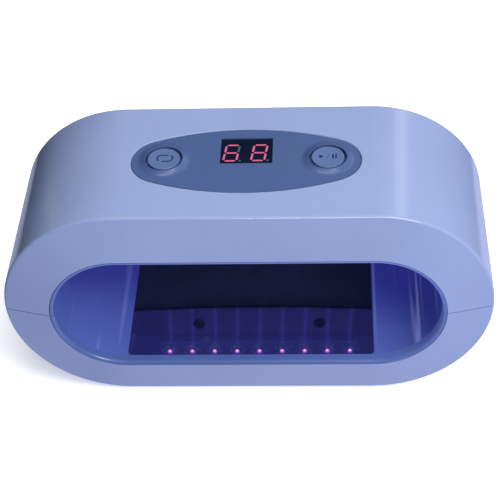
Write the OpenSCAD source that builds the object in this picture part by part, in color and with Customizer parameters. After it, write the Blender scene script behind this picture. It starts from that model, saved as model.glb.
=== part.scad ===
// UV curing lamp: a stadium-shaped housing with a stadium-shaped tunnel through its front.
// Millimetres. +Z is up, the front faces -Y, and the origin is under the middle of the housing,
// on the surface that the rubber feet stand on.

/* [Housing] */
// Overall width of the housing
housing_w = 240; // [230:1:250]
// Height of the housing, without the feet
housing_h = 117; // [115:1:120]
// Depth from the front lip of the tunnel to the flat back
housing_d = 90.4; // [90:0.1:94]
// How far the front face falls back from the tunnel's lip to the outer edge
bevel_d = 5.7; // [3:0.1:8]
// Radius of the housing's outer edges
corner_r = 1.6; // [1.2:0.1:4]
// Wall of the two shells
wall = 2.6; // [2.2:0.1:3]
// Open line between the upper and the lower shell
seam = 0.6; // [0.2:0.1:0.6]

/* [Tunnel] */
// Radius of the rounded ends of the tunnel's mouth in the shells
mouth_r = 35.6; // [34:0.1:37]
// Thickness of the rim that lines the mouth
rim_wall = 1.9; // [1.8:0.05:2.4]
// Depth of the rim, from its rounded lip to the liner and the floor plate
rim_d = 5; // [5:0.1:6]
// Radius of the rim's lip
lip_r = 1.85; // [1:0.05:1.85]
// Thickness of the floor plate
plate_t = 1; // [0.8:0.1:1.2]

/* [Lamps] */
// Number of LEDs in the row
led_count = 9; // [5:1:9]
// Distance from one LED to the next
led_pitch = 12.9; // [12:0.1:13]
// Distance of the LED row behind the tunnel's lip
led_setback = 72.3; // [70:0.1:72.5]
// Distance of the flange that hangs behind the LED row, from the tunnel's lip
flange_setback = 81.8; // [81.5:0.1:82]
// Height of the flange that hangs behind the LED row
flange_h = 22.4; // [15:0.1:24]

/* [Control panel] */
// Half length of the oval panel
panel_a = 55.6; // [54:0.1:58]
// Half width of the oval panel
panel_b = 23.75; // [23:0.1:26]
// Radius of the oval's ends
panel_end_r = 16.3; // [14:0.1:18]
// How far the panel's face lies below the housing's top
panel_drop = 0.35; // [0.2:0.05:0.6]
// Distance of each button from the middle of the panel
button_x = 39.8; // [38:0.1:40]
// Radius of a button
button_r = 7.95; // [7:0.05:8]
// Open ring between a button and the panel
button_gap = 1.15; // [0.5:0.05:1.2]
// How far a button travels
button_travel = 0.8; // [0.5:0.1:0.8]

/* [Display] */
// Width of the two-digit display
display_w = 25; // [25:0.1:26]
// Depth of the two-digit display
display_d = 19; // [18:0.1:19.5]
// Height of a digit between the middles of its top and bottom strokes
digit_h = 11.95; // [11:0.05:13]
// Width of a digit between the middles of its side strokes
digit_w = 6.4; // [6:0.1:7]
// Width of a stroke
stroke = 1.05; // [1:0.05:1.6]
// Distance from one digit to the next
digit_pitch = 13.55; // [12.5:0.05:13.6]

/* [Feet] */
// How far the rubber feet lift the housing
foot_h = 2.5; // [2:0.5:4]
// Radius of a rubber foot
foot_r = 6; // [5:0.5:8]

/* [Hidden] */

$fn = 72;
cut = 1;                                  // how far a cutting solid runs past what it cuts
gap = 0.3;                                // open line between parts that lie edge to edge

// Stadium outline and the places along the depth, counted forward (towards -Y)
outer_r = housing_h / 2;
spine = housing_w / 2 - outer_r;          // half length of the straight stretch
mid_z = foot_h + outer_r;
front_f = housing_d / 2;
back_f = -front_f;
bevel_angle = atan(bevel_d / (outer_r - mouth_r));
inner_r = outer_r - wall;
inner_corner_r = 0.5;                     // smallest radius inside the shells' edges

// Tunnel
rim_out = mouth_r - 0.4;
rim_in = rim_out - rim_wall;
rim_back_f = front_f - rim_d;
rim_seam = 0.4;                           // open line between the two rims
liner_in = rim_in + 0.4;
liner_out = liner_in + 1.4;
liner_front_f = rim_back_f - 0.15;
liner_back_f = back_f + 5.4;
plate_half_w = spine + 0.7;
baffle_t = 2.4;
cover_r = 50.7;
cover_recess = 0.6;
cover_t = 2.2;
cover_in_f = back_f + cover_recess + cover_t;

// LED row
led_f = front_f - led_setback;
led_x0 = -led_pitch * (led_count - 1) / 2;
flange_f = front_f - flange_setback;      // front face of the hanging flange
sheet = 1;                                // thickness of the reflector's sheet
window_w = 114;                           // window in the tunnel's ceiling, under the LEDs
window_d = 11.2;
reflector_w = 117;
reflector_d = 12.4;
reflector_z = liner_out + 0.1;
cup_r = 4.5;
led_board_z = 38;                         // heights above the middle of the housing
board_t = 1.6;
led_board_w = 116;
led_board_half_d = 8.4;
led_board_hole_x = 55;
flange_screw_x = 34.5;
flange_screw_z = 23;

// Control panel
panel_x = 0.1;
panel_y = 2.6;
panel_top = outer_r - panel_drop;
panel_t = 1.95;
panel_big_r = (pow(panel_a - panel_end_r, 2) + pow(panel_b, 2) - pow(panel_end_r, 2))
  / (2 * (panel_b - panel_end_r));
panel_turn = atan2(panel_big_r - panel_b, panel_a - panel_end_r);
ledge = 3;                                // width of the ledge under the panel's rim
button_y = 3.35;
mound_r = 13.6;                           // raised surround of a button
mound_h = 1.3;
button_top = panel_top + mound_h - 0.1;
control_board_z = 47;
switch_h = 3.5;
switch_top = control_board_z + board_t + switch_h;
plunger_top = switch_top + button_travel + 0.2;
plunger_r = 1.7;

// Display
display_x = 0.35;
display_y = 10.15;
display_top = panel_top - 0.6;
digit_x = display_x - 0.6;
digit_y = display_y - 1;
slant = 0.115;                            // sideways lean of a digit for each unit of height
segment_gap = 0.45;

// Fasteners, feet and boards
case_post_x = spine + 46;
case_post_y = 28;
cover_post_r = 46;                        // distance of a cover post from the end's axis
cover_post_x = spine + cover_post_r * cos(45);
cover_post_z = cover_post_r * sin(45);
board_post_x = 40;
board_post_y = 22;
driver_x = -10;
driver_y = -3;
driver_post_x = 26;
driver_post_y = 20;
control_half = [46, 25];                  // half sizes of the two boards
driver_half = [31, 25];
prop_x = 55;                              // props of the tunnel's liner
prop_y = 24;
foot_x = 48;
foot_y = 28;
driver_board_z = -51.5;
screw_r = 1.45;
screw_hole_r = 1.5;

// Power inlet
jack_x = 44;
jack_z = -44.5;
jack_bore_r = 3;
jack_len = 13.4;

// Points along an arc of a section
function arc(x, y, r, from, to, steps) =
  [for (i = [0:steps]) let (a = from + (to - from) * i / steps) [x + r * cos(a), y + r * sin(a)]];

// Forward place of the front face's inner side, at a distance r from the stadium's spine
function bevel_f(r, inset) = front_f - inset / cos(bevel_angle) - (r - mouth_r) * tan(bevel_angle);

// Outline of the housing in the plane of [distance from the spine, forward], shrunk by inset
function skin_points(inset) =
  let (
    r = max(corner_r - inset, inner_corner_r),
    cx = outer_r - inset - r,
    front_c = bevel_f(cx, inset + r),
    back_c = back_f + inset + r
  )
  concat(
    [[0, back_c - r]],
    arc(cx, back_c, r, -90, 0, 8),
    arc(cx, front_c, r, 0, 90 - bevel_angle, 8),
    [[mouth_r, bevel_f(mouth_r, inset)], [0, bevel_f(mouth_r, inset)]]
  );

// Places its children with their own Z forward and their own Y up, about the housing's middle
module facing_front() {
  translate([0, 0, mid_z]) rotate([90, 0, 0]) children();
}

// Sweeps a section of [distance from the spine, forward] round the upper or the lower half
module half_sweep(upper) {
  facing_front() rotate([0, 0, upper ? 0 : 180]) {
    translate([spine, 0, 0]) rotate_extrude(angle = 90) children();
    translate([-spine, 0, 0]) rotate([0, 0, 90]) rotate_extrude(angle = 90) children();
    translate([-spine, 0, 0]) rotate([90, 0, 90]) linear_extrude(2 * spine) children();
  }
}

// Stadium-shaped plate from one forward place to another
module stadium_plate(r, from_f, to_f) {
  facing_front() translate([0, 0, from_f]) {
    for (side = [0, 180])
      rotate([0, 0, side]) translate([spine, 0, 0]) rotate([0, 0, -90])
        rotate_extrude(angle = 180) square([r, to_f - from_f]);
    translate([-spine, -r, 0]) cube([2 * spine, 2 * r, to_f - from_f]);
  }
}

// Closed wall of a shell, with the mouth at the front and the seat of the cover at the back
module shell_section() {
  difference() {
    polygon(skin_points(0));
    polygon(skin_points(wall));
    translate([-cut, 0]) square([mouth_r + cut, front_f + cut]);
    translate([-cut, back_f - cut]) square([cover_r + gap + cut, front_f]);
  }
}

// Box given by its lowest and highest corners, with heights from the housing's middle
module block(low, high) {
  translate([low[0], low[1], low[2] + mid_z]) cube(high - low);
}

// Upright cylinder with heights from the housing's middle
module post(x, y, r, low, high) {
  translate([x, y, low + mid_z]) cylinder(r = r, h = high - low);
}

// Cylinder along the depth from one forward place to another
module bar(x, z, r, from_f, to_f) {
  facing_front() translate([x, z, from_f]) cylinder(r = r, h = to_f - from_f);
}

// Outline of the control panel, grown sideways by grow: an oval of four tangent arcs
function oval_points(grow) =
  let (
    end_x = panel_a - panel_end_r,
    big_y = panel_big_r - panel_b,
    end_r = panel_end_r + grow,
    big_r = panel_big_r + grow,
    turn = panel_turn
  )
  concat(
    arc(end_x, 0, end_r, -turn, turn, 24),
    arc(0, -big_y, big_r, turn + 1.5, 178.5 - turn, 28),
    arc(-end_x, 0, end_r, 180 - turn, 180 + turn, 24),
    arc(0, big_y, big_r, 181.5 + turn, 358.5 - turn, 28)
  );

// Oval disc at the panel's place, with heights from the housing's middle
module oval_disc(low, high, grow) {
  translate([panel_x, panel_y, mid_z + low]) linear_extrude(high - low) polygon(oval_points(grow));
}

// Post with a rib that takes a screw of the rear cover; side and level are -1 or 1
module cover_post(side, level) {
  bar(side * cover_post_x, level * cover_post_z, 3.6, cover_in_f, cover_in_f + 14);
  facing_front() translate([side * spine, 0, cover_in_f + 2])
    rotate([0, 0, atan2(level, side)]) translate([cover_post_r + 2, -0.9, 0])
      cube([inner_r - cover_post_r - 1.7, 1.8, 12]);
}

module cover_post_hole(side, level) {
  bar(side * cover_post_x, level * cover_post_z, screw_hole_r, cover_in_f - cut, cover_in_f + 10);
}

// Section of the tongue at one side, in the plane of the seam
module tongue_section(side, inset) {
  difference() {
    polygon([for (p = skin_points(inset)) [side * (spine + p[0]), -p[1]]]);
    polygon([for (p = skin_points(wall + 1.4)) [side * (spine + p[0]), -p[1]]]);
    translate([side > 0 ? 0 : -spine - mouth_r - 2.5, -housing_d])
      square([spine + mouth_r + 2.5, 2 * housing_d]);
    translate([side > 0 ? 0 : -spine - cover_r - 0.6, -cover_in_f - 1.8])
      square([spine + cover_r + 0.6, housing_d]);
  }
}

module upper_shell() {
  seat_low = panel_top - panel_t;
  window_low = seat_low - 2.2;
  round_r = 0.7;
  steps = 3;
  color("lavender") difference() {
    union() {
      half_sweep(true) shell_section();
      oval_disc(window_low, inner_r + 0.2, 3);
      for (sx = [-1, 1], sy = [-1, 1]) {
        post(sx * case_post_x, sy * case_post_y, 4, seam / 2, 28);
        post(panel_x + sx * board_post_x, panel_y + sy * board_post_y, 3,
             control_board_z + board_t, inner_r + 0.2);
      }
      for (sx = [-1, 1]) cover_post(sx, 1);
    }
    block([-housing_w, -housing_d, -outer_r], [housing_w, housing_d, seam / 2]);
    oval_disc(seat_low, outer_r + cut, gap);
    oval_disc(window_low - cut, outer_r, -ledge);
    // rounded upper edge of the panel's seat
    for (i = [0:steps - 1]) hull() for (a = [i, i + 1] * 90 / steps)
      translate([0, 0, round_r * (sin(a) - 1)])
        oval_disc(outer_r, outer_r + (a == 90 ? cut : 0.01), gap + round_r * (1 - cos(a)));
    for (sx = [-1, 1], sy = [-1, 1]) {
      post(sx * case_post_x, sy * case_post_y, screw_hole_r, 0, 14);
      post(panel_x + sx * board_post_x, panel_y + sy * board_post_y, screw_hole_r, 46, 53);
    }
    for (sx = [-1, 1]) cover_post_hole(sx, 1);
  }
}

module lower_shell() {
  tongue_h = 2.4;
  color("lavender") difference() {
    union() {
      difference() {
        half_sweep(false) shell_section();
        block([-housing_w, -housing_d, -seam / 2], [housing_w, housing_d, cut]);
      }
      for (sx = [-1, 1], sy = [-1, 1]) {
        post(sx * case_post_x, sy * case_post_y, 4.8, -28, -seam / 2);
        post(sx * prop_x, sy * prop_y, 3, -inner_r - 0.2, -liner_out - 0.2);
        post(driver_x + sx * driver_post_x, driver_y + sy * driver_post_y, 3,
             -inner_r - 0.2, driver_board_z);
      }
      for (sx = [-1, 1]) cover_post(sx, -1);
      // tongue that stands up behind the seam at both sides
      for (side = [-1, 1]) translate([0, 0, mid_z - 3]) {
        linear_extrude(2.6) tongue_section(side, wall - 0.6);
        linear_extrude(3 + tongue_h) tongue_section(side, wall + 0.2);
      }
    }
    for (sx = [-1, 1], sy = [-1, 1]) {
      post(sx * case_post_x, sy * case_post_y, 1.7, -40, cut);
      post(sx * case_post_x, sy * case_post_y, 3.2, -outer_r, -14);
      post(driver_x + sx * driver_post_x, driver_y + sy * driver_post_y, screw_hole_r,
           -inner_r, driver_board_z + 1);
      post(sx * foot_x, sy * foot_y, foot_r + 0.1, -outer_r - cut, -outer_r + 1);
    }
    for (sx = [-1, 1]) cover_post_hole(sx, -1);
  }
}

// Rim of the tunnel's mouth: a rounded lip, and a rib that lies behind the shells' front face
module rim_section() {
  polygon(concat(
    [[rim_in, rim_back_f], [rim_out, rim_back_f], [rim_out + 2.4, rim_back_f]],
    [[rim_out + 2.4, rim_back_f + 1.2], [rim_out, rim_back_f + 1.2], [rim_out, front_f]],
    arc(rim_in + lip_r, front_f - lip_r, lip_r, 90, 180, 6)
  ));
}

module upper_rim() {
  color("slateblue") difference() {
    half_sweep(true) rim_section();
    block([-housing_w, -housing_d, -outer_r], [housing_w, housing_d, rim_seam / 2]);
  }
}

module lower_rim() {
  color("slateblue") difference() {
    half_sweep(false) rim_section();
    block([-housing_w, -housing_d, -rim_seam / 2], [housing_w, housing_d, outer_r]);
  }
}

module tunnel_liner() {
  pocket_d = plate_t - 0.4;
  rail_half_w = 55;
  color("mediumblue") difference() {
    union() {
      for (upper = [true, false]) half_sweep(upper) translate([liner_in, liner_back_f])
        square([liner_out - liner_in, liner_front_f - liner_back_f]);
      // rails under the LED board, on both sides of the reflector
      for (y = [-led_f - led_board_half_d, -led_f + led_board_half_d - 2])
        block([-rail_half_w, y, liner_out - 0.2], [rail_half_w, y + 2, led_board_z]);
    }
    // window that the LEDs look through
    block([-window_w / 2, -led_f - window_d / 2, 0],
          [window_w / 2, -led_f + window_d / 2, outer_r]);
    // pocket of the floor plate
    block([-plate_half_w - 0.2, -front_f, -liner_in - pocket_d],
          [plate_half_w + 0.2, housing_d, 0]);
  }
}

module floor_plate() {
  corner = 3;
  front_y = -rim_back_f + 0.1;
  back_y = -liner_back_f;
  color("midnightblue") translate([0, 0, mid_z - rim_in - plate_t]) linear_extrude(plate_t)
    polygon(concat(
      arc(-plate_half_w + corner, front_y + corner, corner, 180, 270, 6),
      arc(plate_half_w - corner, front_y + corner, corner, 270, 360, 6),
      [[plate_half_w, back_y], [-plate_half_w, back_y]]
    ));
}

module rear_baffle() {
  color("black") difference() {
    union() {
      stadium_plate(38, liner_back_f - 0.1 - baffle_t, liner_back_f - 0.1);
      for (sx = [-1, 1])
        bar(sx * flange_screw_x, flange_screw_z, 4.5, liner_back_f - 0.3, flange_f - sheet);
    }
    for (sx = [-1, 1]) bar(sx * flange_screw_x, flange_screw_z, screw_hole_r, back_f, flange_f);
  }
}

module rear_cover() {
  head_depth = 1.1;
  color("lightsteelblue") difference() {
    stadium_plate(cover_r, back_f + cover_recess, cover_in_f);
    for (sx = [-1, 1], sz = [-1, 1]) {
      bar(sx * cover_post_x, sz * cover_post_z, 1.7, back_f - cut, front_f);
      bar(sx * cover_post_x, sz * cover_post_z, 3.2, back_f - cut,
          back_f + cover_recess + head_depth);
    }
    bar(jack_x, jack_z, 4.1, back_f - cut, 0);
    // vents of the upper and the lower cavity
    for (i = [-8:8]) vent(i * 6, 39.8, 48.4);
    for (i = [-8:3]) vent(i * 6, -48.4, -39.8);
  }
}

module vent(x, low, high) {
  block([x - 1.1, 0, low], [x + 1.1, housing_d, high]);
}

module led_reflector() {
  color("silver") difference() {
    block([-reflector_w / 2, -led_f - reflector_d / 2, reflector_z],
          [reflector_w / 2, -led_f + reflector_d / 2, reflector_z + sheet]);
    for (i = [0:led_count - 1]) post(led_x0 + i * led_pitch, -led_f, cup_r + 0.2, 30, 40);
  }
}

// Right half of the flange's outline: its upper edge follows the tunnel's ceiling, and its lower
// edge rises a little towards the end
function flange_half() =
  let (
    r = liner_in - 0.15,
    low = liner_in - flange_h,
    end_x = spine + 15.5
  )
  concat(
    [[0, low], [27, low], [47, low + 1.1], [spine + 2, low + 1.7], [end_x, low + 2.5]],
    arc(spine, 0, r, acos((end_x - spine) / r), 90, 6),
    [[0, r]]
  );

module reflector_flange() {
  color("silver") difference() {
    facing_front() for (side = [0, 1]) mirror([side, 0, 0]) translate([0, 0, flange_f - sheet])
      linear_extrude(sheet) polygon(flange_half());
    for (sx = [-1, 1]) bar(sx * flange_screw_x, flange_screw_z, 1.7, back_f, 0);
  }
}

// Pan head screw along its own Z, with the head's top at 0 and the point below
module screw(head_r, head_h, length) {
  difference() {
    union() {
      rotate_extrude() polygon(concat(
        [[0, -head_h], [head_r, -head_h]],
        arc(head_r - 0.5, -0.5, 0.5, 0, 90, 3),
        [[0, 0]]
      ));
      translate([0, 0, -length]) cylinder(r = screw_r, h = length - head_h + 0.1);
    }
    for (turn = [0, 90]) rotate([0, 0, turn]) translate([-head_r * 0.55, -0.35, -0.8])
      cube([head_r * 1.1, 0.7, 1]);
  }
}

module reflector_screws() {
  color("dimgray") for (sx = [-1, 1])
    facing_front() translate([sx * flange_screw_x, flange_screw_z, flange_f + 1.5])
      screw(3.3, 1.5, 6.5);
}

module led_cups() {
  low = reflector_z - 0.3;
  rim = led_board_z - 0.1;
  color("silver") for (i = [0:led_count - 1])
    translate([led_x0 + i * led_pitch, -led_f, mid_z]) rotate_extrude() polygon([
      [cup_r - 0.5, low], [cup_r, low], [cup_r, low + 1.6], [3.7, rim], [2.6, rim], [2.6, rim - 0.9]
    ]);
}

module leds() {
  color("violet") for (i = [0:led_count - 1]) translate([led_x0 + i * led_pitch, -led_f, mid_z]) {
    translate([-1.7, -1.7, led_board_z - 0.8]) cube([3.4, 3.4, 0.8]);
    rotate_extrude() polygon(concat(
      [[0, led_board_z - 0.4], [1.6, led_board_z - 0.4]],
      arc(0, led_board_z - 0.8, 1.6, 0, -90, 5)
    ));
  }
}

module led_board() {
  color("white") difference() {
    block([-led_board_w / 2, -led_f - led_board_half_d, led_board_z],
          [led_board_w / 2, -led_f + led_board_half_d, led_board_z + board_t]);
    for (sx = [-1, 1]) post(sx * led_board_hole_x, -led_f, screw_hole_r, 30, 45);
  }
}

module heat_sink() {
  base = led_board_z + board_t;
  fin_w = 1.2;
  fin_pitch = 3.7;
  color("silver") difference() {
    union() {
      block([-led_board_w / 2, -led_f - led_board_half_d, base],
            [led_board_w / 2, -led_f + led_board_half_d, base + 1.6]);
      for (i = [0:4]) block([-led_board_w / 2 + 8, -led_f - 8 + i * fin_pitch, base + 1.5],
                            [led_board_w / 2 - 8, -led_f - 8 + i * fin_pitch + fin_w, base + 4.4]);
    }
    for (sx = [-1, 1]) post(sx * led_board_hole_x, -led_f, screw_hole_r, 30, 45);
  }
}

// Ring that rises ever more steeply from the panel's face to the eased edge of a button's hole
module mound(x) {
  steps = 8;
  ease = 0.3;
  crest_r = button_r + button_gap + ease;
  low = panel_top - 1;
  translate([x, button_y, mid_z]) rotate_extrude() polygon(concat(
    [[0, low], [mound_r, low]],
    [for (i = [0:steps]) [
      mound_r + (crest_r - mound_r) * i / steps,
      panel_top + mound_h * (1 - cos(90 * i / steps))
    ]],
    [[crest_r - 0.5 * ease, panel_top + mound_h], [crest_r - ease, panel_top + mound_h - ease]],
    [[0, panel_top + mound_h - ease]]
  ));
}

module control_panel() {
  color("slategray") difference() {
    union() {
      oval_disc(panel_top - panel_t, panel_top, 0);
      for (sx = [-1, 1]) mound(panel_x + sx * button_x);
    }
    for (sx = [-1, 1]) post(panel_x + sx * button_x, button_y, button_r + button_gap, 50, 62);
    block([display_x - display_w / 2 - 0.2, display_y - display_d / 2 - 0.2, 50],
          [display_x + display_w / 2 + 0.2, display_y + display_d / 2 + 0.2, 60]);
  }
}

// Button with a dished face, a flange that keeps it under the panel, and a stem
module button(x) {
  flange_top = panel_top - panel_t - gap;
  edge = 0.45;
  dish_w = button_r - edge;
  dish_d = 0.3;
  ball_r = (dish_w * dish_w + dish_d * dish_d) / (2 * dish_d);
  rim_angle = asin(dish_w / ball_r);
  color("slategray") translate([x, button_y, mid_z]) rotate_extrude() polygon(concat(
    [[0, plunger_top + 0.03], [2, plunger_top + 0.03], [2, flange_top - 1]],
    [[9.8, flange_top - 1], [9.8, flange_top], [button_r, flange_top]],
    arc(dish_w, button_top - edge, edge, 0, 90, 4),
    arc(0, button_top - dish_d + ball_r, ball_r, rim_angle - 90.5, -90, 6)
  ));
}

module cycle_button() {
  button(panel_x - button_x);
}

module start_button() {
  button(panel_x + button_x);
}

module plunger(x) {
  color("black") post(x, button_y, plunger_r, switch_top - 1.5, plunger_top);
}

module cycle_plunger() {
  plunger(panel_x - button_x);
}

module start_plunger() {
  plunger(panel_x + button_x);
}

module push_switch(x) {
  base = control_board_z + board_t;
  color("gray") difference() {
    block([x - 3, button_y - 3, base], [x + 3, button_y + 3, switch_top]);
    post(x, button_y, plunger_r + 0.06, base + 0.6, switch_top + cut);
  }
}

module cycle_switch() {
  push_switch(panel_x - button_x);
}

module start_switch() {
  push_switch(panel_x + button_x);
}

module display_case() {
  color("black") difference() {
    block([display_x - display_w / 2, display_y - display_d / 2, control_board_z + board_t],
          [display_x + display_w / 2, display_y + display_d / 2, display_top]);
    for (digit = [0, 1]) digit_segments(digit, [0:7], 1);
  }
}

// One stroke of a digit, lying along X or Y, leaning with its height in the digit
module stroke_shape(x, y, length, upright) {
  h = stroke / 2;
  l = length / 2 - segment_gap;
  flat = [[-l, 0], [-l + h, h], [l - h, h], [l, 0], [l - h, -h], [-l + h, -h]];
  polygon([for (p = flat) let (q = upright ? [x - p[1], y + p[0]] : [x + p[0], y + p[1]])
    [q[0] + slant * q[1], q[1]]]);
}

// Segments of one digit: 0 top, 1 and 2 right, 3 bottom, 4 and 5 left, 6 middle, 7 the point
module digit_segments(digit, which, depth) {
  half = digit_h / 2;
  translate([digit_x + (digit - 0.5) * digit_pitch, digit_y, mid_z + display_top - depth])
    for (k = which) linear_extrude(depth) {
      if (k == 0 || k == 3 || k == 6)
        stroke_shape(0, k == 0 ? half : k == 3 ? -half : 0, digit_w, false);
      if (k == 1 || k == 2)
        stroke_shape(digit_w / 2, k == 1 ? half / 2 : -half / 2, half, true);
      if (k == 4 || k == 5)
        stroke_shape(-digit_w / 2, k == 5 ? half / 2 : -half / 2, half, true);
      if (k == 7) translate([digit_w / 2 + 0.95, -half + 0.05]) circle(r = stroke * 0.55);
    }
}

module display_lit_segments() {
  color("hotpink") {
    digit_segments(0, [0, 2, 3, 4, 5, 6], 0.9);
    digit_segments(1, [0, 1, 2, 3, 4, 5, 6], 0.9);
  }
}

module display_dark_segments() {
  color("gray") {
    digit_segments(0, [1, 7], 0.9);
    digit_segments(1, [7], 0.9);
  }
}

module control_board() {
  color("seagreen") difference() {
    block([panel_x - control_half[0], panel_y - control_half[1], control_board_z],
          [panel_x + control_half[0], panel_y + control_half[1], control_board_z + board_t]);
    for (sx = [-1, 1], sy = [-1, 1])
      post(panel_x + sx * board_post_x, panel_y + sy * board_post_y, 1.7, 40, 50);
  }
}

module control_chip() {
  base = control_board_z + board_t;
  color("dimgray") block([-18, -16, base], [-8, -8.5, base + 1.6]);
}

module buzzer() {
  color("black") difference() {
    post(-22, -12, 5.9, control_board_z - 7.6, control_board_z);
    post(-22, -12, 1.2, control_board_z - 8, control_board_z - 6);
  }
}

module driver_board() {
  color("seagreen") difference() {
    block([driver_x - driver_half[0], driver_y - driver_half[1], driver_board_z],
          [driver_x + driver_half[0], driver_y + driver_half[1], driver_board_z + board_t]);
    for (sx = [-1, 1], sy = [-1, 1])
      post(driver_x + sx * driver_post_x, driver_y + sy * driver_post_y, 1.7, -55, -45);
  }
}

module driver_capacitors() {
  base = driver_board_z + board_t;
  color("navy") for (x = [-30, -20]) translate([x, 8, mid_z + base])
    rotate_extrude() polygon(concat(
      [[0, 0], [4, 0], [4, 1.2], [3.7, 1.5], [4, 1.8]],
      arc(3.5, 10.7, 0.5, 0, 90, 3),
      [[0, 11.2]]
    ));
}

module driver_coil() {
  base = driver_board_z + board_t;
  color("orange") translate([-2, 6, mid_z + base]) rotate_extrude() polygon(concat(
    [[2.2, 0], [6.3, 0]],
    [[6.8, 0.6], [6.8, 5.4], [6.3, 6], [2.2, 6]]
  ));
}

module driver_chip() {
  base = driver_board_z + board_t;
  color("dimgray") block([-20, -20, base], [-10, -13, base + 1.7]);
}

// Barrel jack behind the rear cover, with its nose in the cover's hole
module dc_jack() {
  color("black") difference() {
    union() {
      block([jack_x - 4.5, -cover_in_f - jack_len, jack_z - 5.5],
            [jack_x + 4.5, -cover_in_f, jack_z + 5.5]);
      bar(jack_x, jack_z, 3.9, back_f + 0.3, cover_in_f + 1);
    }
    bar(jack_x, jack_z, jack_bore_r, back_f - cut, back_f + 9.8);
  }
}

module dc_jack_pin() {
  color("silver") bar(jack_x, jack_z, 1, back_f + 2, back_f + 9.8);
}

// Round wire along a route of points, as a tube of eight sides; the route never runs along ref
module wire(route, r, ref = [0, 1, 0]) {
  sides = 8;
  last = len(route) - 1;
  frames = [for (i = [0:last]) let (
    ahead = route[min(i + 1, last)] - route[max(i - 1, 0)],
    along = ahead / norm(ahead),
    across = cross(ref, along),
    u = across / norm(across),
    v = cross(along, u)
  ) [u, v]];
  rings = [for (i = [0:last], k = [0:sides - 1]) let (a = 360 * k / sides)
    route[i] + r * (cos(a) * frames[i][0] + sin(a) * frames[i][1])];
  sides_faces = [for (i = [0:last - 1], k = [0:sides - 1]) let (n = (k + 1) % sides)
    [i * sides + k, i * sides + n, (i + 1) * sides + n, (i + 1) * sides + k]];
  translate([0, 0, mid_z]) polyhedron(rings, concat(
    [[for (k = [0:sides - 1]) sides - 1 - k]],
    sides_faces,
    [[for (k = [0:sides - 1]) last * sides + k]]
  ));
}

// Stretch of a route round one end of the tunnel, from the bottom (0) to the top (180)
function end_arc(side, y, r, from, to, steps) = [for (i = [0:steps])
  let (a = from + (to - from) * i / steps) [side * (spine + r * sin(a)), y, -r * cos(a)]];

module power_leads() {
  color("firebrick") for (k = [0, 1]) let (z = 1.9 * k - 48.6) wire([
    [44, 29, z], [44, 27, z], [43, 24, z], [40, 21, z], [35, 17, z], [30, 14, z],
    [26, 12.8, z], [22.4, 12.5, z]
  ], 0.8, [0, 0, 1]);
}

module led_leads() {
  color("firebrick") for (k = [0, 1]) let (y = 8.5 - 2.5 * k) wire(concat(
    [[-41.3, y, -48.3], [-46, y, -48], [-53, y, -47]],
    end_arc(-1, y, 46, 8, 166, 16),
    [[-69, y + 2, 44.6], [-66, y + 5.5, 43], [-62.6, y + 9.5, 40.8], [-60.4, y + 12, 39.4],
     [-58.3, y + 13, 38.8]]
  ), 0.8);
}

module panel_leads() {
  color("dimgray") for (k = [0, 1, 2]) wire(concat(
    [[22.4, 2 * k - 8, -48.3], [28, 2 * k - 8, -48.2]],
    [[40, 2 * k - 6, -47.5], [53, 2 * k - 3, -47]],
    end_arc(1, 2 * k - 2, 46.5, 8, 168, 16),
    [[64, 2 * k - 2, 47.6], [58, 2 * k - 2, 49], [53, 2 * k - 2, 50], [51.2, 2 * k - 2, 50]]
  ), 0.6);
}

// Plug housings at the ends of the leads, on the boards
module lead_plugs() {
  driver_top = driver_board_z + board_t;
  control_top = control_board_z + board_t;
  color("ivory") {
    block([17, 8, driver_top], [22.3, 14.4, driver_top + 4.2]);
    block([17, -10, driver_top], [22.3, -2, driver_top + 4.2]);
    block([-41.2, 3.5, driver_top], [-35, 11, driver_top + 4.2]);
    block([43.8, -4, control_top], [51.1, 4, control_top + 3.2]);
  }
}

module case_screws() {
  color("dimgray") for (sx = [-1, 1], sy = [-1, 1])
    translate([sx * case_post_x, sy * case_post_y, mid_z - 16.2]) rotate([180, 0, 0])
      screw(2.9, 2.2, 26);
}

module cover_screws() {
  color("silver") for (sx = [-1, 1], sz = [-1, 1]) facing_front()
    translate([sx * cover_post_x, sz * cover_post_z, back_f + 0.15]) rotate([180, 0, 0])
      screw(2.9, 1.5, 11);
}

module board_screws() {
  color("silver") for (sx = [-1, 1], sy = [-1, 1]) {
    translate([panel_x + sx * board_post_x, panel_y + sy * board_post_y,
               mid_z + control_board_z - 1.5]) rotate([180, 0, 0]) screw(2.4, 1.5, 6.5);
    translate([driver_x + sx * driver_post_x, driver_y + sy * driver_post_y,
               mid_z + driver_board_z + board_t + 1.5]) screw(2.4, 1.5, 5.5);
  }
}

module feet() {
  spigot = 0.9;
  color("dimgray") for (sx = [-1, 1], sy = [-1, 1]) translate([sx * foot_x, sy * foot_y, 0])
    rotate_extrude() polygon([
      [0, 0], [foot_r - 0.6, 0], [foot_r, 0.6], [foot_r, foot_h + spigot], [0, foot_h + spigot]
    ]);
}

upper_shell();
lower_shell();
upper_rim();
lower_rim();
tunnel_liner();
floor_plate();
rear_baffle();
rear_cover();
led_reflector();
reflector_flange();
reflector_screws();
led_cups();
leds();
led_board();
heat_sink();
control_panel();
cycle_button();
start_button();
cycle_plunger();
start_plunger();
cycle_switch();
start_switch();
display_case();
display_lit_segments();
display_dark_segments();
control_board();
control_chip();
buzzer();
driver_board();
driver_capacitors();
driver_coil();
driver_chip();
dc_jack();
dc_jack_pin();
power_leads();
led_leads();
panel_leads();
lead_plugs();
case_screws();
cover_screws();
board_screws();
feet();
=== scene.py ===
"""UV curing lamp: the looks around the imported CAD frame. Metres, +Z up, the front faces -Y."""

import math

import bmesh
import bpy
from mathutils import Matrix, Vector


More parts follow.
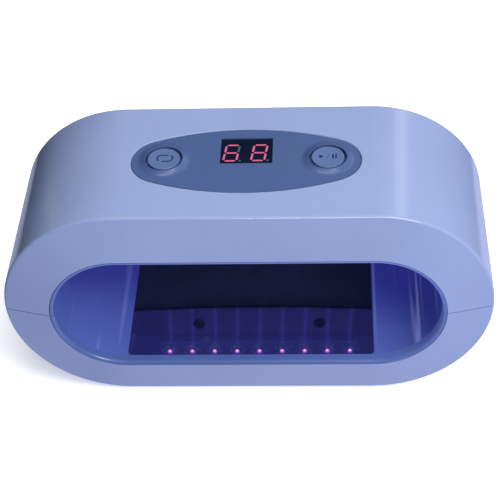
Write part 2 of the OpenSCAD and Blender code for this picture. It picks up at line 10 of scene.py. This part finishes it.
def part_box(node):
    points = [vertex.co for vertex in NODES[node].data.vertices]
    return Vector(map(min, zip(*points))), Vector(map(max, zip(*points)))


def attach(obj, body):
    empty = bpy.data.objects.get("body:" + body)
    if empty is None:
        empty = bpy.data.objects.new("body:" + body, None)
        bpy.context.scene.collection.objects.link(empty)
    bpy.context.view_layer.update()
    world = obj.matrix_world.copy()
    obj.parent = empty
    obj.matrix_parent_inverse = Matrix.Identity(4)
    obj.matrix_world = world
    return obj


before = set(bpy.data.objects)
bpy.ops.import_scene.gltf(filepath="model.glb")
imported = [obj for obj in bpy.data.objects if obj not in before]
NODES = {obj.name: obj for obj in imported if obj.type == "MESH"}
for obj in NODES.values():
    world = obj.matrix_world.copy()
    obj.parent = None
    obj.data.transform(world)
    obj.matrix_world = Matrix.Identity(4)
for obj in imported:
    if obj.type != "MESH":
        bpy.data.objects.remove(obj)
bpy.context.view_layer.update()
MM = 0.001

# ---------------------------------------------------------------------------
# Sizes of the object
# ---------------------------------------------------------------------------
LED_COUNT = 9
LED_WIDTH = 3.4 * MM
CUP_WIDTH = 9.0 * MM
DISH_DEPTH = 0.3 * MM                     # dish in the face of a button
DISH_RADIUS = 93.9 * MM                   # radius of curvature of that dish
PRINT_SUNK = 0.01 * MM                    # how far a print reaches into the button's face
PRINT_PROUD = 0.04 * MM                   # and how far it stands above it

# ---------------------------------------------------------------------------
# Violet light of the LEDs, painted into the tunnel's surfaces as glow
# ---------------------------------------------------------------------------
STREAK_LEAN = 0.045                       # sideways run of a painted light streak for each unit that it goes down
STREAK_SHARPNESS = 24.0                   # the higher, the narrower a painted light streak is
CEILING_START = 7.0 * MM                  # the ceiling's painted violet glow begins this far below the liner's top
CEILING_FULL = 3.0 * MM                   # and is full from this far below it
# Colour of an LED from its middle to the rim of its lens
LED_GLOW = ((0.0, (4.6, 2.7, 2.7)), (0.40, (3.2, 1.0, 1.8)), (0.70, (0.5, 0.12, 0.9)),
            (1.0, (0.05, 0.03, 0.35)))

# ---------------------------------------------------------------------------
# Camera
# ---------------------------------------------------------------------------
CAMERA_PLACE = Vector((0.0391, -0.5286, 0.5527))
CAMERA_YAW = -4.24
CAMERA_PITCH = 42.707
CAMERA_ROLL = -3.36
CAMERA_LENS = 102.0
SENSOR_WIDTH = 36.0
CLIP_START = 0.01

# ---------------------------------------------------------------------------
# Room: brightness of a direction by one of its parts, which runs from -1 to 1
# ---------------------------------------------------------------------------
SKY_HEIGHT = ((-0.02, 0.0), (0.03, 0.10), (0.30, 0.30), (0.75, 1.0))
SKY_SIDE = ((-0.9, 0.03), (-0.35, 0.15), (0.05, 0.85), (0.20, 1.05), (0.36, 0.90), (0.8, 0.25))
SKY_TINT = (0.86, 0.97, 1.10)
TABLE_HEIGHT = ((-1.0, 1.7), (-0.30, 1.0), (-0.05, 0.8), (0.0, 0.0))
TABLE_SIDE = ((-0.9, 0.30), (-0.45, 0.90), (-0.25, 0.58), (0.0, 1.0), (0.9, 0.90))
TABLE_TINT = (0.89, 0.93, 1.36)
TABLE_EDGE_SLOPE = 0.55                   # behind the lamp the table ends below the horizon
RIGHT_WALL = ((0.15, 0.0), (0.5, 0.34))
WORLD_STRENGTH = 0.65

# ---------------------------------------------------------------------------
# Stage and lamps
# ---------------------------------------------------------------------------
FLOOR_HALF = 3.0
FLOOR_GLOW = 0.45
BACKDROP_RADIUS = 2.8
LAMP_WHITE = (1.0, 0.98, 1.0)
SUN_COLOUR = (1.0, 0.97, 0.93)
SUN_FROM = (0.35, -0.35, 0.85)
SUN_POWER = 1.69
SUN_SPREAD = 50                           # degrees
VIOLET = (0.42, 0.30, 1.0)
ROW_GLOW_POWER = 0.006
ROW_GLOW_DROP = 1.5 * MM                  # the violet lamp hangs this far below the cups


def add_camera():
    """Camera that looks down at the lamp's front, a little from the right and slightly rolled."""
    yaw, pitch, roll = (math.radians(a) for a in (CAMERA_YAW, CAMERA_PITCH, CAMERA_ROLL))
    forward = Vector((math.sin(yaw) * math.cos(pitch), math.cos(yaw) * math.cos(pitch),
                      -math.sin(pitch)))
    level = Vector((math.cos(yaw), -math.sin(yaw), 0.0))
    upward = level.cross(forward)
    right = math.cos(roll) * level + math.sin(roll) * upward
    up = -math.sin(roll) * level + math.cos(roll) * upward
    turn = Matrix((right, up, -forward)).transposed().to_4x4()
    data = bpy.data.cameras.new("camera")
    data.lens = CAMERA_LENS
    data.sensor_width = SENSOR_WIDTH
    data.sensor_fit = "HORIZONTAL"
    data.clip_start = CLIP_START
    camera = bpy.data.objects.new("camera", data)
    camera.matrix_world = Matrix.Translation(CAMERA_PLACE) @ turn
    bpy.context.scene.collection.objects.link(camera)
    bpy.context.scene.camera = camera


# ---------------------------------------------------------------------------
# Node building blocks
# ---------------------------------------------------------------------------
class Nodes:
    """Adds linked nodes to one node tree."""

    def __init__(self, tree):
        self.tree = tree

    def node(self, kind, **settings):
        made = self.tree.nodes.new(kind)
        for key, value in settings.items():
            setattr(made, key, value)
        return made

    def link(self, source, target):
        self.tree.links.new(source, target)

    def feed(self, value, socket):
        """Gives a socket its value, which is a number or another node's output."""
        if isinstance(value, bpy.types.NodeSocket):
            self.link(value, socket)
        else:
            socket.default_value = value

    def axes(self, source):
        """X, Y and Z of a vector."""
        made = self.node("ShaderNodeSeparateXYZ")
        self.link(source, made.inputs[0])
        return made.outputs

    def math(self, operation, *values):
        made = self.node("ShaderNodeMath", operation=operation)
        for value, socket in zip(values, made.inputs):
            self.feed(value, socket)
        return made.outputs[0]

    def share(self, source, low, high):
        """How far a value is on its way from low to high, as 0 to 1."""
        return self.math("DIVIDE", self.math("SUBTRACT", source, low), high - low)

    def mix(self, kind, factor, first, second):
        """Blends two colours."""
        made = self.node("ShaderNodeMix", data_type="RGBA", blend_type=kind)
        for value, socket in zip((factor, first, second), (made.inputs[i] for i in (0, 6, 7))):
            self.feed(value, socket)
        return made.outputs[2]

    def stops(self, source, stops):
        """Colour by a grey value; each stop is a position and a colour."""
        made = self.node("ShaderNodeValToRGB")
        elements = made.color_ramp.elements
        while len(elements) < len(stops):
            elements.new(0.5)
        for element, (position, colour) in zip(elements, stops):
            element.position = position
            element.color = (*colour, 1.0)
        self.link(source, made.inputs["Fac"])
        return made.outputs["Color"]

    def ramp(self, source, low, high, start=0.3, end=0.7):
        """Maps a grey value between two colours."""
        return self.stops(source, ((start, low), (end, high)))


class Maker(Nodes):
    """Builds one node material round a Principled shader."""

    def __init__(self, name):
        self.material = bpy.data.materials.new(name)
        self.material.use_nodes = True
        super().__init__(self.material.node_tree)
        self.shader = self.tree.nodes["Principled BSDF"]
        self.place = self.node("ShaderNodeTexCoord").outputs["Object"]

    def set(self, **values):
        for key, value in values.items():
            self.shader.inputs[key.replace("_", " ")].default_value = value

    def noise(self, scale, detail=3.0, roughness=0.55, stretch=(1, 1, 1)):
        mapping = self.node("ShaderNodeMapping")
        mapping.inputs["Scale"].default_value = stretch
        self.link(self.place, mapping.inputs["Vector"])
        noise = self.node("ShaderNodeTexNoise")
        noise.inputs["Scale"].default_value = scale
        noise.inputs["Detail"].default_value = detail
        noise.inputs["Roughness"].default_value = roughness
        self.link(mapping.outputs[0], noise.inputs["Vector"])
        return noise.outputs["Fac"]

    def span(self, source, low, high):
        """Maps 0..1 to a number between low and high."""
        mapped = self.node("ShaderNodeMapRange")
        mapped.inputs["To Min"].default_value = low
        mapped.inputs["To Max"].default_value = high
        self.link(source, mapped.inputs["Value"])
        return mapped.outputs["Result"]

    def colour(self, source):
        self.link(source, self.shader.inputs["Base Color"])

    def roughness(self, source):
        self.link(source, self.shader.inputs["Roughness"])

    def bump(self, source, strength, distance):
        bump = self.node("ShaderNodeBump")
        bump.inputs["Strength"].default_value = strength
        bump.inputs["Distance"].default_value = distance
        self.link(source, bump.inputs["Height"])
        self.link(bump.outputs[0], self.shader.inputs["Normal"])

    def emit(self, source):
        """Adds a glow of the given colour."""
        self.link(source, self.shader.inputs["Emission Color"])
        self.set(Emission_Strength=1.0)


def shade(colour, factor):
    return tuple(min(1.0, c * factor) for c in colour)


# ---------------------------------------------------------------------------
# Kinds of material
# ---------------------------------------------------------------------------
def plastic_maker(name, colour, gloss=0.25, spread=0.05, grain=900.0, bump=0.04, variation=0.04):
    """Moulded plastic: a faint cloudiness in its colour, uneven gloss and a fine surface grain."""
    m = Maker(name)
    cloud = m.noise(scale=18.0, detail=4.0)
    m.colour(m.ramp(cloud, shade(colour, 1.0 - variation), shade(colour, 1.0 + variation)))
    m.roughness(m.span(m.noise(scale=60.0, detail=5.0), gloss - spread, gloss + spread))
    m.bump(m.noise(scale=grain, detail=2.0), strength=bump, distance=0.05 * MM)
    m.set(IOR=1.49)
    return m


def plastic(name, colour, coat=0.0, coat_gloss=0.04, specular=0.5, **surface):
    """Finished plastic material, with a clear coat where it has one."""
    m = plastic_maker(name, colour, **surface)
    m.set(Coat_Weight=coat, Coat_Roughness=coat_gloss, Specular_IOR_Level=specular)
    return m.material


def metal(name, colour, gloss=0.3, stretch=(1, 1, 1), brushed=400.0, bump=0.08, variation=0.12):
    """Metal with fine drawn or rolled lines along one direction."""
    m = Maker(name)
    lines = m.noise(scale=brushed, detail=3.0, roughness=0.6, stretch=stretch)
    m.colour(m.ramp(lines, shade(colour, 1.0 - variation), shade(colour, 1.0 + variation)))
    m.roughness(m.span(lines, gloss - 0.08, gloss + 0.1))
    m.bump(lines, strength=bump, distance=0.03 * MM)
    m.set(Metallic=1.0)
    return m.material


def glowing(name, colour, glow, low=0.8):
    """Plastic with an uneven glow, by a soft noise; low is the share left in its dim patches. On the
    lit display segments the glow is their own light; on the LED cups and reflector screws it is
    painted light of the LEDs.
    """
    m = Maker(name)
    patch = m.noise(scale=500.0, detail=2.0)
    m.colour(m.ramp(patch, shade(colour, 0.9), colour))
    m.emit(m.ramp(patch, shade(glow, low), glow))
    m.set(Roughness=0.35)
    return m.material


def mirror_sheet():
    """Dark mirror-polished sheet with a faint haze drawn along its depth."""
    m = Maker("dark_mirror")
    haze = m.noise(scale=90.0, detail=3.0, roughness=0.5, stretch=(1, 0.1, 1))
    m.colour(m.ramp(haze, (0.31, 0.31, 0.40), (0.35, 0.35, 0.45)))
    m.roughness(m.span(haze, 0.02, 0.05))
    m.set(Metallic=1.0)
    return m.material


# ---------------------------------------------------------------------------
# Materials under the violet light
# ---------------------------------------------------------------------------
def row_of(node, width):
    """Middle of the first item of a row along X, and the distance from one item to the next."""
    low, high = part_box(node)
    return low.x + width / 2, (high.x - low.x - width) / (LED_COUNT - 1)


def led_core():
    """LED lens: a small pink-white core in its middle and a violet glow around it."""
    m = Maker("led_emitter")
    first, pitch = row_of("leds", LED_WIDTH)
    low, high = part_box("leds")
    axes = m.axes(m.place)
    steps = m.math("DIVIDE", m.math("SUBTRACT", axes["X"], first), pitch)
    across = m.math("MULTIPLY", m.math("SUBTRACT", steps, m.math("ROUND", steps)), pitch)
    along = m.math("SUBTRACT", axes["Y"], (low.y + high.y) / 2)
    square = m.math("ADD", m.math("MULTIPLY", across, across), m.math("MULTIPLY", along, along))
    m.emit(m.stops(m.math("DIVIDE", m.math("SQRT", square), LED_WIDTH / 2), LED_GLOW))
    m.colour(m.ramp(m.noise(scale=500.0, detail=2.0), (0.25, 0.20, 0.35), (0.30, 0.25, 0.40)))
    m.set(Roughness=0.3)
    return m.material


def painted_light_streaks(m, axes):
    """Mask of the painted violet light streaks: a grey value that peaks along a leaning line behind
    each LED, as far as the row of cups goes.
    """
    first, pitch = row_of("led_cups", CUP_WIDTH)
    low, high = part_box("led_cups")
    leant = m.math("MULTIPLY_ADD", axes["Z"], STREAK_LEAN, axes["X"])
    start = first + STREAK_LEAN * low.z
    phase = m.math("MULTIPLY", m.math("SUBTRACT", leant, start), 2 * math.pi / pitch)
    wave = m.math("MULTIPLY_ADD", m.math("COSINE", phase), 0.5, 0.5)
    inside = m.math("LESS_THAN", m.math("ABSOLUTE", axes["X"]), high.x)
    return m.math("MULTIPLY", m.math("POWER", wave, STREAK_SHARPNESS), inside)


def lit_wall():
    """Blue tunnel wall with painted light: thin bright lines of painted LED reflection, and a faint
    painted violet glow, most of all on its ceiling.
    """
    m = plastic_maker("liner_plastic", (0.08, 0.125, 0.36), gloss=0.2, spread=0.04, bump=0.03)
    axes = m.axes(m.place)
    low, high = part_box("tunnel_liner")
    # painted LED reflections: thin bright lines that run along the wall's depth
    drawn = m.noise(scale=260.0, detail=1.0, roughness=0.5, stretch=(1, 0.03, 1))
    lines = m.ramp(drawn, (0.0, 0.0, 0.0), (0.085, 0.09, 0.165), start=0.60, end=0.78)
    # painted violet glow that grows toward the back of the tunnel
    inward = m.share(axes["Y"], low.y, high.y)
    depth = m.ramp(inward, (0.007, 0.009, 0.065), (0.015, 0.014, 0.125), start=0.0, end=0.8)
    walls = m.mix("ADD", 1.0, depth, lines)
    # painted LED light on the ceiling, brightest in a leaning streak behind each LED
    ceiling = m.ramp(painted_light_streaks(m, axes), (0.045, 0.042, 0.19), (0.09, 0.065, 0.38),
                     start=0.0, end=1.0)
    level = m.node("ShaderNodeMapRange")
    level.inputs["From Min"].default_value = high.z - CEILING_START
    level.inputs["From Max"].default_value = high.z - CEILING_FULL
    m.link(axes["Z"], level.inputs["Value"])
    m.emit(m.mix("MIX", level.outputs["Result"], walls, ceiling))
    return m.material


def lit_rim():
    """Blue rim of the mouth with a painted violet glow, brightest on its top and right side."""
    m = plastic_maker("rim_plastic", (0.070, 0.118, 0.315), gloss=0.2)
    axes = m.axes(m.place)
    low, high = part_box("lower_rim")[0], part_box("upper_rim")[1]
    across = m.share(axes["X"], low.x, high.x)
    upward = m.share(axes["Z"], low.z, high.z)
    # painted light: the glow rises toward the rim's top and right side
    middle = m.math("MULTIPLY", m.math("ADD", across, upward), 0.5)
    m.emit(m.ramp(middle, (0.008, 0.012, 0.03), (0.055, 0.072, 0.21), start=0.30, end=0.80))
    return m.material


def flange_sheet():
    """Lacquered sheet with painted light: behind each LED a soft upright streak of painted violet
    glow.
    """
    m = plastic_maker("flange_lacquer_painted_light", (0.045, 0.06, 0.19), gloss=0.35)
    streak = painted_light_streaks(m, m.axes(m.place))
    # painted violet streaks of LED light on the sheet
    m.emit(m.ramp(streak, (0.028, 0.028, 0.12), (0.06, 0.045, 0.26), start=0.0, end=1.0))
    return m.material


# ---------------------------------------------------------------------------
# Materials of the sub-parts
# ---------------------------------------------------------------------------
def assign(material, *node_names):
    for name in node_names:
        data = NODES[name].data
        data.materials.clear()
        data.materials.append(material)


def dress_housing():
    """Casing, back and feet."""
    assign(plastic("shell_plastic", (0.275, 0.352, 0.572), gloss=0.16, spread=0.02, grain=500.0,
                   bump=0.015, coat=0.25),
           "upper_shell", "lower_shell")
    assign(plastic("cover_plastic", (0.30, 0.375, 0.60), gloss=0.4, grain=1500.0, bump=0.2),
           "rear_cover")
    assign(plastic("foot_rubber", (0.02, 0.02, 0.024), gloss=0.75, grain=1200.0, bump=0.3,
                   variation=0.2),
           "feet")
    assign(metal("dark_steel", (0.03, 0.03, 0.035), gloss=0.45), "case_screws")


def dress_tunnel():
    """Rim, walls, plate and the row of LEDs."""
    assign(lit_rim(), "upper_rim", "lower_rim")
    assign(lit_wall(), "tunnel_liner", "led_reflector")
    assign(flange_sheet(), "reflector_flange")
    # reflector screws: dark steel with a faint painted violet glow of the LED light
    assign(glowing("dark_steel_painted_violet_light", (0.03, 0.03, 0.035), glow=(0.008, 0.010, 0.055)),
           "reflector_screws")
    assign(plastic("baffle_plastic", (0.10, 0.15, 0.20), gloss=0.5, variation=0.2), "rear_baffle")
    assign(mirror_sheet(), "floor_plate")
    # LED cups: lacquer with a painted blue-violet glow of the LED light, uneven by a soft noise
    assign(glowing("cup_lacquer_painted_glow", (0.05, 0.08, 0.18), glow=(0.08, 0.10, 0.42), low=0.25),
           "led_cups")
    assign(led_core(), "leds")


def dress_panel():
    """Control panel, buttons and display."""
    assign(plastic("panel_plastic", (0.054, 0.097, 0.235), gloss=0.29, grain=2200.0, bump=0.08,
                   coat=0.12, coat_gloss=0.12),
           "control_panel")
    assign(plastic("button_plastic", (0.090, 0.145, 0.31), gloss=0.3, grain=2200.0, bump=0.06),
           "cycle_button", "start_button")
    assign(plastic("display_face", (0.003, 0.007, 0.022), gloss=0.3, variation=0.2, specular=0.06),
           "display_case")
    assign(plastic("unlit_segment", (0.05, 0.09, 0.12), gloss=0.5, variation=0.15),
           "display_dark_segments")
    assign(glowing("lit_segment", (0.25, 0.05, 0.11), glow=(0.46, 0.08, 0.18)),
           "display_lit_segments")


def dress_inside():
    """Boards, their components, wiring and fasteners."""
    assign(plastic("black_plastic", (0.012, 0.012, 0.016), gloss=0.5, variation=0.2),
           "cycle_plunger", "start_plunger", "control_chip", "buzzer", "driver_chip", "dc_jack")
    assign(plastic("ivory_plastic", (0.70, 0.65, 0.50), gloss=0.45), "lead_plugs")
    assign(plastic("green_board", (0.02, 0.14, 0.05), gloss=0.35, variation=0.25),
           "control_board", "driver_board")
    assign(plastic("white_board", (0.75, 0.77, 0.80), gloss=0.4), "led_board")
    assign(plastic("red_wire", (0.35, 0.01, 0.01), gloss=0.45, variation=0.15),
           "power_leads", "led_leads")
    assign(plastic("grey_wire", (0.09, 0.10, 0.11), gloss=0.45, variation=0.15), "panel_leads")
    assign(plastic("capacitor_sleeve", (0.01, 0.015, 0.05), gloss=0.3, variation=0.2),
           "driver_capacitors")
    assign(metal("plain_steel", (0.55, 0.55, 0.57), stretch=(1, 1, 8)),
           "cycle_switch", "start_switch", "dc_jack_pin", "cover_screws", "board_screws")
    assign(metal("aluminium", (0.70, 0.71, 0.73), stretch=(0.1, 1, 1)), "heat_sink")
    assign(metal("copper_winding", (0.72, 0.30, 0.13), stretch=(1, 1, 12), brushed=900.0, bump=0.4),
           "driver_coil")


# ---------------------------------------------------------------------------
# Printed symbols, drawn in millimetres from the middle of a button
# ---------------------------------------------------------------------------
def arc(cx, cy, r, start, end, steps):
    angles = [math.radians(start + (end - start) * i / steps) for i in range(steps + 1)]
    return [(cx + r * math.cos(a), cy + r * math.sin(a)) for a in angles]


def stroke(points, width):
    """Pairs of points on both sides of a line."""
    pairs = []
    for i, (x, y) in enumerate(points):
        ax, ay = points[max(i - 1, 0)]
        bx, by = points[min(i + 1, len(points) - 1)]
        length = math.hypot(bx - ax, by - ay)
        nx, ny = -(by - ay) / length * width / 2, (bx - ax) / length * width / 2
        pairs.append(((x + nx, y + ny), (x - nx, y - ny)))
    return pairs


def loop_strips():
    """Loop of two open halves, each with an arrow head."""
    half, r, width = 1.5, 2.3, 0.75           # half the straight run, radius of the ends, line width
    rise, shift = 0.45, 0.5                   # place of the loop's middle on the button
    gap = 0.6                                 # the line stops this far before the end of its run
    head_start, head_in, head_out = gap + 0.1, 0.5, 0.6
    tip_reach, tip_rise, tip_width = 0.35, 0.02, 0.04
    upper = [(half - gap, r), (-half, r)] + arc(-half, 0, r, 105, 235, 12)
    upper = [(x, y + rise) for x, y in upper]
    lower = [(-x, 2 * rise - y) for x, y in upper]
    strips = [stroke(upper, width), stroke(lower, width)]
    for side in (1, -1):
        root = side * (half - head_start)
        tip = (side * (half + tip_reach), rise + side * (r + tip_rise))
        strips.append([((root, rise + side * (r - head_in)), (root, rise + side * (r + head_out))),
                       (tip, (tip[0], tip[1] + tip_width))])
    return [[tuple((x + shift, y) for x, y in pair) for pair in strip] for strip in strips]


def play_pause_strips():
    """Triangle, slash and two bars."""
    rise = 0.5
    triangle = [((-4.2, rise + 1.4), (-4.2, rise - 1.4)), ((-2.1, rise + 0.05), (-2.1, rise - 0.05))]
    slash = stroke([(-0.6, rise - 1.3), (0.6, rise + 1.4)], width=0.2)
    bars = [stroke([(x, rise - 1.55), (x, rise + 1.55)], width)
            for x, width in ((2.4, 0.9), (3.9, 0.75))]
    return [triangle, slash] + bars


def add_symbol(name, strips, button_node, body, material):
    """Thin print that follows the button's dished face; a strip is a row of point pairs."""
    low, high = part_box(button_node)
    cx, cy = (low.x + high.x) / 2, (low.y + high.y) / 2
    mesh = bpy.data.meshes.new(name)
    bm = bmesh.new()
    for strip in strips:
        rows = []
        for pair in strip:
            row = []
            for x, y in pair:
                face = high.z - DISH_DEPTH + (x * x + y * y) * MM * MM / (2 * DISH_RADIUS)
                for lift in (-PRINT_SUNK, PRINT_PROUD):
                    row.append(bm.verts.new((cx + x * MM, cy + y * MM, face + lift)))
            rows.append(row)
        for (a, b) in zip(rows, rows[1:]):
            for i, j in ((0, 1), (1, 3), (3, 2), (2, 0)):
                bm.faces.new((a[i], a[j], b[j], b[i]))
        for row in (rows[0], rows[-1]):
            bm.faces.new((row[0], row[1], row[3], row[2]))
    bmesh.ops.recalc_face_normals(bm, faces=bm.faces)
    bm.to_mesh(mesh)
    bm.free()
    mesh.materials.append(material)
    piece = bpy.data.objects.new(name, mesh)
    bpy.context.scene.collection.objects.link(piece)
    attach(piece, body)


def add_symbols():
    """A loop on the left button, and play / pause on the right one."""
    ink = plastic("symbol_ink", (0.014, 0.024, 0.085), gloss=0.6, variation=0.15, specular=0.1)
    add_symbol("cycle_symbol", loop_strips(), "cycle_button", "cycle_key", ink)
    add_symbol("start_symbol", play_pause_strips(), "start_button", "start_key", ink)


# ---------------------------------------------------------------------------
# Stage
# ---------------------------------------------------------------------------
def add_floor():
    """Pale floor that shows the lamp's soft shadow, and is not seen in reflections."""
    half = FLOOR_HALF
    mesh = bpy.data.meshes.new("floor")
    mesh.from_pydata([(-half, -half, 0), (half, -half, 0), (half, half, 0), (-half, half, 0)],
                     [], [(0, 1, 2, 3)])
    floor = bpy.data.objects.new("floor", mesh)
    m = Maker("pale_floor")
    m.colour(m.ramp(m.noise(scale=3.0), (0.93, 0.93, 0.94), (0.96, 0.96, 0.97)))
    m.set(Roughness=0.9, Specular_IOR_Level=0.1)
    m.set(Emission_Color=(1.0, 1.0, 1.0, 1.0), Emission_Strength=FLOOR_GLOW)
    mesh.materials.append(m.material)
    bpy.context.scene.collection.objects.link(floor)
    floor.visible_diffuse = False
    floor.visible_glossy = False


def add_backdrop():
    """Plain pale bowl round the floor, seen by the camera alone, so it neither lights nor shades."""
    mesh = bpy.data.meshes.new("backdrop")
    bm = bmesh.new()
    bmesh.ops.create_uvsphere(bm, u_segments=48, v_segments=24, radius=BACKDROP_RADIUS)
    bm.to_mesh(mesh)
    bm.free()
    bowl = bpy.data.objects.new("backdrop", mesh)
    m = Maker("pale_backdrop")
    m.colour(m.ramp(m.noise(scale=2.0), (0.01, 0.01, 0.01), (0.02, 0.02, 0.02)))
    m.set(Roughness=1.0, Specular_IOR_Level=0.0)
    m.set(Emission_Color=(1.0, 1.0, 1.0, 1.0), Emission_Strength=1.0)
    mesh.materials.append(m.material)
    bpy.context.scene.collection.objects.link(bowl)
    for kind in ("diffuse", "glossy", "transmission", "shadow"):
        setattr(bowl, "visible_" + kind, False)


def by_direction(nodes, part, stops, tint=(1.0, 1.0, 1.0)):
    """Tinted brightness by one part of a direction, from -1 to 1."""
    spread = nodes.node("ShaderNodeMapRange")
    spread.inputs["From Min"].default_value = -1.0
    nodes.link(part, spread.inputs["Value"])
    return nodes.stops(spread.outputs["Result"], [
        ((position + 1) / 2, tuple(value * t for t in tint)) for position, value in stops])


def add_world():
    """Soft room: bright overhead, dark on the left, a bluish table below and a wall on the right."""
    world = bpy.data.worlds.new("world")
    bpy.context.scene.world = world
    world.use_nodes = True
    nodes = Nodes(world.node_tree)
    axes = nodes.axes(nodes.node("ShaderNodeTexCoord").outputs["Generated"])
    behind = nodes.math("MAXIMUM", axes["Y"], 0.0)
    above_table = nodes.math("MULTIPLY_ADD", behind, TABLE_EDGE_SLOPE, axes["Z"])
    sky = nodes.mix("MULTIPLY", 1.0, by_direction(nodes, axes["Z"], SKY_HEIGHT, SKY_TINT),
                    by_direction(nodes, axes["X"], SKY_SIDE))
    table = nodes.mix("MULTIPLY", 1.0, by_direction(nodes, above_table, TABLE_HEIGHT, TABLE_TINT),
                      by_direction(nodes, axes["X"], TABLE_SIDE))
    wall = by_direction(nodes, axes["X"], RIGHT_WALL, TABLE_TINT)
    background = world.node_tree.nodes["Background"]
    nodes.link(nodes.mix("ADD", 1.0, nodes.mix("ADD", 1.0, sky, table), wall),
               background.inputs["Color"])
    background.inputs["Strength"].default_value = WORLD_STRENGTH


def add_area(name, place, aim, size, power, colour=LAMP_WHITE):
    """Rectangular lamp that the camera doesn't see."""
    data = bpy.data.lights.new(name, "AREA")
    data.shape = "RECTANGLE"
    data.size, data.size_y = size
    data.energy = power
    data.color = colour
    lamp = bpy.data.objects.new(name, data)
    lamp.location = place
    lamp.rotation_euler = (Vector(aim) - Vector(place)).to_track_quat("-Z", "Y").to_euler()
    lamp.visible_camera = False
    bpy.context.scene.collection.objects.link(lamp)
    return lamp


def add_sun():
    """Broad main light from the front right, which leaves no highlight."""
    data = bpy.data.lights.new("sun", "SUN")
    data.energy = SUN_POWER
    data.angle = math.radians(SUN_SPREAD)
    data.color = SUN_COLOUR
    sun = bpy.data.objects.new("sun", data)
    sun.rotation_euler = Vector(SUN_FROM).to_track_quat("Z", "Y").to_euler()
    sun.visible_glossy = False
    bpy.context.scene.collection.objects.link(sun)


def add_row_glow():
    """Violet light of the LED row."""
    low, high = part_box("led_cups")
    x, y = (low.x + high.x) / 2, (low.y + high.y) / 2
    row = add_area("led_row_glow", place=(x, y, low.z - ROW_GLOW_DROP), aim=(x, y, 0.0),
                   size=(high.x - low.x, high.y - low.y), power=ROW_GLOW_POWER, colour=VIOLET)
    row.visible_glossy = False


def add_lamps():
    """Two soft lamps, three that are seen only in reflections, the sun and the LED row's light."""
    add_area("key", place=(0.30, -0.41, 0.57), aim=(0, 0, 0.06), size=(0.30, 0.16), power=2.0)
    add_area("overhead", place=(0.03, 0.12, 0.85), aim=(0, 0, 0.12), size=(0.50, 0.12), power=1.0)
    in_reflections = (
        add_area("right_strip", place=(0.47, 0.93, 0.84), aim=(0.07, 0, 0.12),
                 size=(0.14, 0.80), power=0.42),
        add_area("left_strip", place=(-0.88, 0.86, 0.34), aim=(-0.09, 0, 0.10),
                 size=(0.025, 0.60), power=0.02),
        add_area("crease_light", place=(0.06, -0.60, 0.56), aim=(0.03, -0.09, 0.11),
                 size=(0.22, 0.06), power=2.1),
    )
    for lamp in in_reflections:
        lamp.visible_diffuse = False
    add_sun()
    add_row_glow()


add_camera()
dress_housing()
dress_tunnel()
dress_panel()
dress_inside()
add_symbols()
add_floor()
add_backdrop()
add_world()
add_lamps()
bpy.context.scene.view_settings.view_transform = "Standard"
